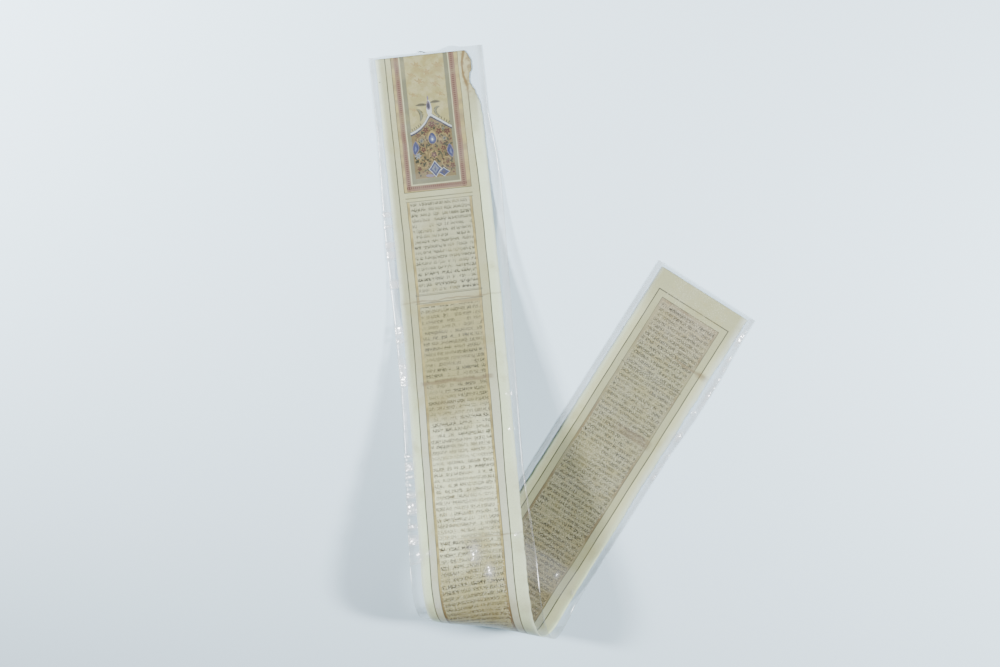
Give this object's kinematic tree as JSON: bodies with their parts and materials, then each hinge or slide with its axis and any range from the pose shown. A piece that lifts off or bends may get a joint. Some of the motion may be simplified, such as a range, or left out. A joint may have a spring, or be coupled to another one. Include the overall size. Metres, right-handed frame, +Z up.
{
  "type": "paper scroll",
  "caption": "Long narrow printed paper scroll in a clear flat sleeve, folded over once into a soft loop and lying flat.",
  "frame": {"origin": "under the middle of the part's box, on the surface that it lies on", "axes": "+Y from the loop to the head end of the upper leg, +X to the side where the lower leg lies, +Z up"},
  "size_m": [0.3062, 0.4616, 0.0601],
  "materials": {
    "clear_film": "clear glossy film",
    "printed_paper": "matte, aged"
  },
  "bodies": {
    "root": {"clear_sleeve": "clear_film", "scroll_sheet": "printed_paper"}
  },
  "joints": []
}
